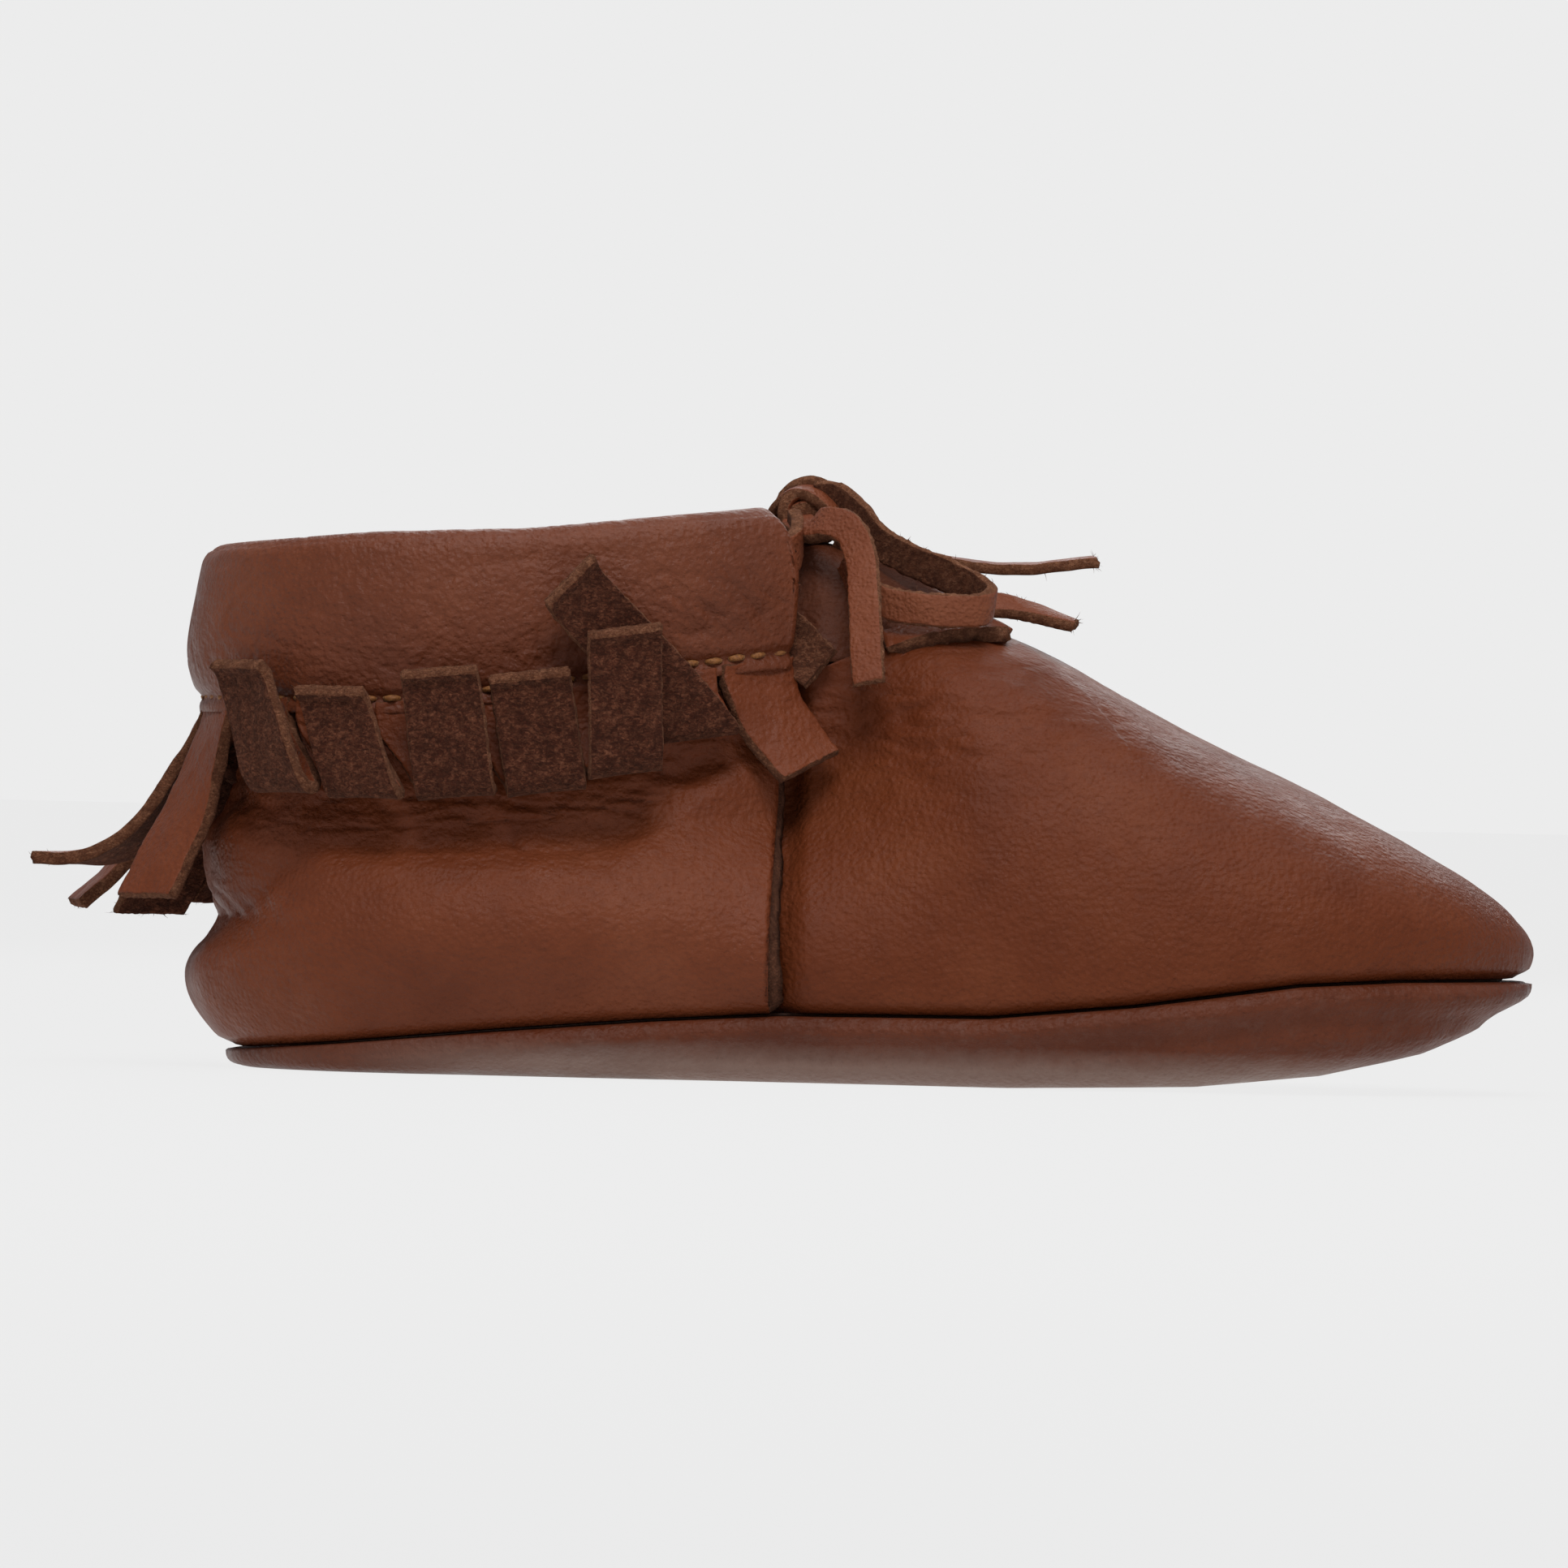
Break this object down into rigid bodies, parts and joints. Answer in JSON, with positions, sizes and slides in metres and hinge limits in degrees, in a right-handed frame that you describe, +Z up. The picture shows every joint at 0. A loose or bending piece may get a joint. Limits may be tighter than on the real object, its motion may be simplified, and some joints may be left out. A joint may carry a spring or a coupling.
{
  "type": "moccasin",
  "caption": "Soft-soled leather moccasin for a baby, with a fringed cuff and a leather lace tied in a bow.",
  "frame": {"origin": "on the flat underside of the sole, on the shoe's middle line, about halfway along", "axes": "+X to the toe, +Z up, the near side in the picture is -Y"},
  "size_m": [0.1406, 0.0577, 0.0584],
  "materials": {
    "grain_leather": "semi-gloss full grain, tan",
    "sole_leather": "matt, soft",
    "fringe_leather": "grain one side, suede the other, raw edges",
    "lace_leather": "grain one side, raw edges",
    "thread": "ochre waxed thread",
    "lining": "undyed thin leather",
    "foam": "felted foam"
  },
  "bodies": {
    "shoe": {"outsole": "sole_leather", "insole_pad": "foam", "sock_liner": "lining", "sole_seam_thread": "thread", "heel_quarter": "grain_leather", "vamp": "grain_leather", "tongue": "grain_leather", "front_flap": "fringe_leather", "quarter_seam_thread_near": "thread", "quarter_seam_thread_far": "thread", "cuff_casing": "grain_leather", "cuff_stitching": "thread", "cuff_lace": "lace_leather", "bow_knot": "lace_leather"},
    "fringe_strip_01": {"fringe_strip_01": "fringe_leather"},
    "fringe_strip_02": {"fringe_strip_02": "fringe_leather"},
    "fringe_strip_03": {"fringe_strip_03": "fringe_leather"},
    "fringe_strip_04": {"fringe_strip_04": "fringe_leather"},
    "fringe_strip_05": {"fringe_strip_05": "fringe_leather"},
    "fringe_strip_06": {"fringe_strip_06": "fringe_leather"},
    "fringe_strip_07": {"fringe_strip_07": "fringe_leather"},
    "fringe_strip_08": {"fringe_strip_08": "fringe_leather"},
    "fringe_strip_09": {"fringe_strip_09": "fringe_leather"},
    "fringe_strip_10": {"fringe_strip_10": "fringe_leather"},
    "fringe_strip_11": {"fringe_strip_11": "fringe_leather"},
    "fringe_strip_12": {"fringe_strip_12": "fringe_leather"},
    "fringe_strip_13": {"fringe_strip_13": "fringe_leather"},
    "fringe_strip_14": {"fringe_strip_14": "fringe_leather"},
    "fringe_strip_15": {"fringe_strip_15": "fringe_leather"},
    "fringe_strip_16": {"fringe_strip_16": "fringe_leather"},
    "fringe_strip_17": {"fringe_strip_17": "fringe_leather"},
    "bow_loop_near": {"bow_loop_near": "lace_leather"},
    "bow_loop_far": {"bow_loop_far": "lace_leather"},
    "lace_tail_near": {"lace_tail_near": "lace_leather"},
    "lace_tail_far": {"lace_tail_far": "lace_leather"},
    "front_flap_strip": {"front_flap_strip": "fringe_leather"}
  },
  "joints": [
    {"name": "fringe_strip_01_hinge", "type": "hinge", "parent": "shoe", "child": "fringe_strip_01", "pos_m": [-0.01048, -0.01758, 0.03848], "axis": [-0.8273, -0.546, -0.132], "range_deg": [0, 30], "stiffness_Nm_per_rad": 0.0001},
    {"name": "fringe_strip_02_hinge", "type": "hinge", "parent": "shoe", "child": "fringe_strip_02", "pos_m": [-0.01827, -0.02073, 0.03722], "axis": [-0.9566, -0.2513, -0.1474], "range_deg": [0, 12], "stiffness_Nm_per_rad": 0.0001},
    {"name": "fringe_strip_03_hinge", "type": "hinge", "parent": "shoe", "child": "fringe_strip_03", "pos_m": [-0.02657, -0.02226, 0.03595], "axis": [-0.9827, -0.1099, -0.1488], "range_deg": [0, 4], "stiffness_Nm_per_rad": 0.0001},
    {"name": "fringe_strip_04_hinge", "type": "hinge", "parent": "shoe", "child": "fringe_strip_04", "pos_m": [-0.03499, -0.0228, 0.03485], "axis": [-0.9916, -0.0152, -0.1287], "range_deg": [0, 12], "stiffness_Nm_per_rad": 0.0001},
    {"name": "fringe_strip_05_hinge", "type": "hinge", "parent": "shoe", "child": "fringe_strip_05", "pos_m": [-0.04341, -0.02231, 0.03404], "axis": [-0.9859, 0.1372, -0.0961], "range_deg": [0, 12], "stiffness_Nm_per_rad": 0.0001},
    {"name": "fringe_strip_06_hinge", "type": "hinge", "parent": "shoe", "child": "fringe_strip_06", "pos_m": [-0.05156, -0.0202, 0.034], "axis": [-0.9156, 0.402, -0.0046], "range_deg": [0, 12], "stiffness_Nm_per_rad": 0.0001},
    {"name": "fringe_strip_07_hinge", "type": "hinge", "parent": "shoe", "child": "fringe_strip_07", "pos_m": [-0.05845, -0.01541, 0.03397], "axis": [-0.704, 0.7102, -0.0036], "range_deg": [0, 12], "stiffness_Nm_per_rad": 0.0001},
    {"name": "fringe_strip_08_hinge", "type": "hinge", "parent": "shoe", "child": "fringe_strip_08", "pos_m": [-0.06278, -0.00828, 0.03396], "axis": [-0.2641, 0.9645, -0.0015], "range_deg": [0, 60], "stiffness_Nm_per_rad": 0.0001},
    {"name": "fringe_strip_09_hinge", "type": "hinge", "parent": "shoe", "child": "fringe_strip_09", "pos_m": [-0.0644, 0, 0.03396], "axis": [0, 1, 0], "range_deg": [0, 60], "stiffness_Nm_per_rad": 0.0001},
    {"name": "fringe_strip_10_hinge", "type": "hinge", "parent": "shoe", "child": "fringe_strip_10", "pos_m": [-0.06278, 0.00828, 0.03396], "axis": [0.2641, 0.9645, 0.0015], "range_deg": [0, 60], "stiffness_Nm_per_rad": 0.0001},
    {"name": "fringe_strip_11_hinge", "type": "hinge", "parent": "shoe", "child": "fringe_strip_11", "pos_m": [-0.05845, 0.01541, 0.03397], "axis": [0.704, 0.7102, 0.0036], "range_deg": [0, 60], "stiffness_Nm_per_rad": 0.0001},
    {"name": "fringe_strip_12_hinge", "type": "hinge", "parent": "shoe", "child": "fringe_strip_12", "pos_m": [-0.05156, 0.0202, 0.034], "axis": [0.9156, 0.402, 0.0046], "range_deg": [0, 60], "stiffness_Nm_per_rad": 0.0001},
    {"name": "fringe_strip_13_hinge", "type": "hinge", "parent": "shoe", "child": "fringe_strip_13", "pos_m": [-0.04341, 0.02231, 0.03404], "axis": [0.9859, 0.1372, 0.0961], "range_deg": [0, 60], "stiffness_Nm_per_rad": 0.0001},
    {"name": "fringe_strip_14_hinge", "type": "hinge", "parent": "shoe", "child": "fringe_strip_14", "pos_m": [-0.03499, 0.0228, 0.03485], "axis": [0.9916, -0.0152, 0.1287], "range_deg": [0, 60], "stiffness_Nm_per_rad": 0.0001},
    {"name": "fringe_strip_15_hinge", "type": "hinge", "parent": "shoe", "child": "fringe_strip_15", "pos_m": [-0.02657, 0.02226, 0.03595], "axis": [0.9827, -0.1099, 0.1488], "range_deg": [0, 60], "stiffness_Nm_per_rad": 0.0001},
    {"name": "fringe_strip_16_hinge", "type": "hinge", "parent": "shoe", "child": "fringe_strip_16", "pos_m": [-0.01827, 0.02073, 0.03722], "axis": [0.9566, -0.2513, 0.1474], "range_deg": [0, 60], "stiffness_Nm_per_rad": 0.0001},
    {"name": "fringe_strip_17_hinge", "type": "hinge", "parent": "shoe", "child": "fringe_strip_17", "pos_m": [-0.01048, 0.01758, 0.03848], "axis": [0.8273, -0.546, 0.132], "range_deg": [0, 60], "stiffness_Nm_per_rad": 0.0001},
    {"name": "bow_loop_near_hinge", "type": "hinge", "parent": "shoe", "child": "bow_loop_near", "pos_m": [-0.0004, -0.0048, 0.0556], "axis": [0, -1, 0], "range_deg": [0, 30], "stiffness_Nm_per_rad": 0.0001},
    {"name": "bow_loop_far_hinge", "type": "hinge", "parent": "shoe", "child": "bow_loop_far", "pos_m": [-0.0004, 0.0048, 0.0556], "axis": [0, -1, 0], "range_deg": [0, 30], "stiffness_Nm_per_rad": 0.0001},
    {"name": "lace_tail_near_hinge", "type": "hinge", "parent": "shoe", "child": "lace_tail_near", "pos_m": [-0.0029, -0.0058, 0.055], "axis": [-1, 0, 0], "range_deg": [0, 30], "stiffness_Nm_per_rad": 0.0001},
    {"name": "lace_tail_far_hinge", "type": "hinge", "parent": "shoe", "child": "lace_tail_far", "pos_m": [0.0006, 0, 0.0524], "axis": [0, -1, 0], "range_deg": [0, 40], "stiffness_Nm_per_rad": 0.0001},
    {"name": "front_flap_strip_hinge", "type": "hinge", "parent": "shoe", "child": "front_flap_strip", "pos_m": [0.0134, -0.0016, 0.0474], "axis": [0, -1, 0], "range_deg": [0, 25], "stiffness_Nm_per_rad": 0.0001}
  ]
}
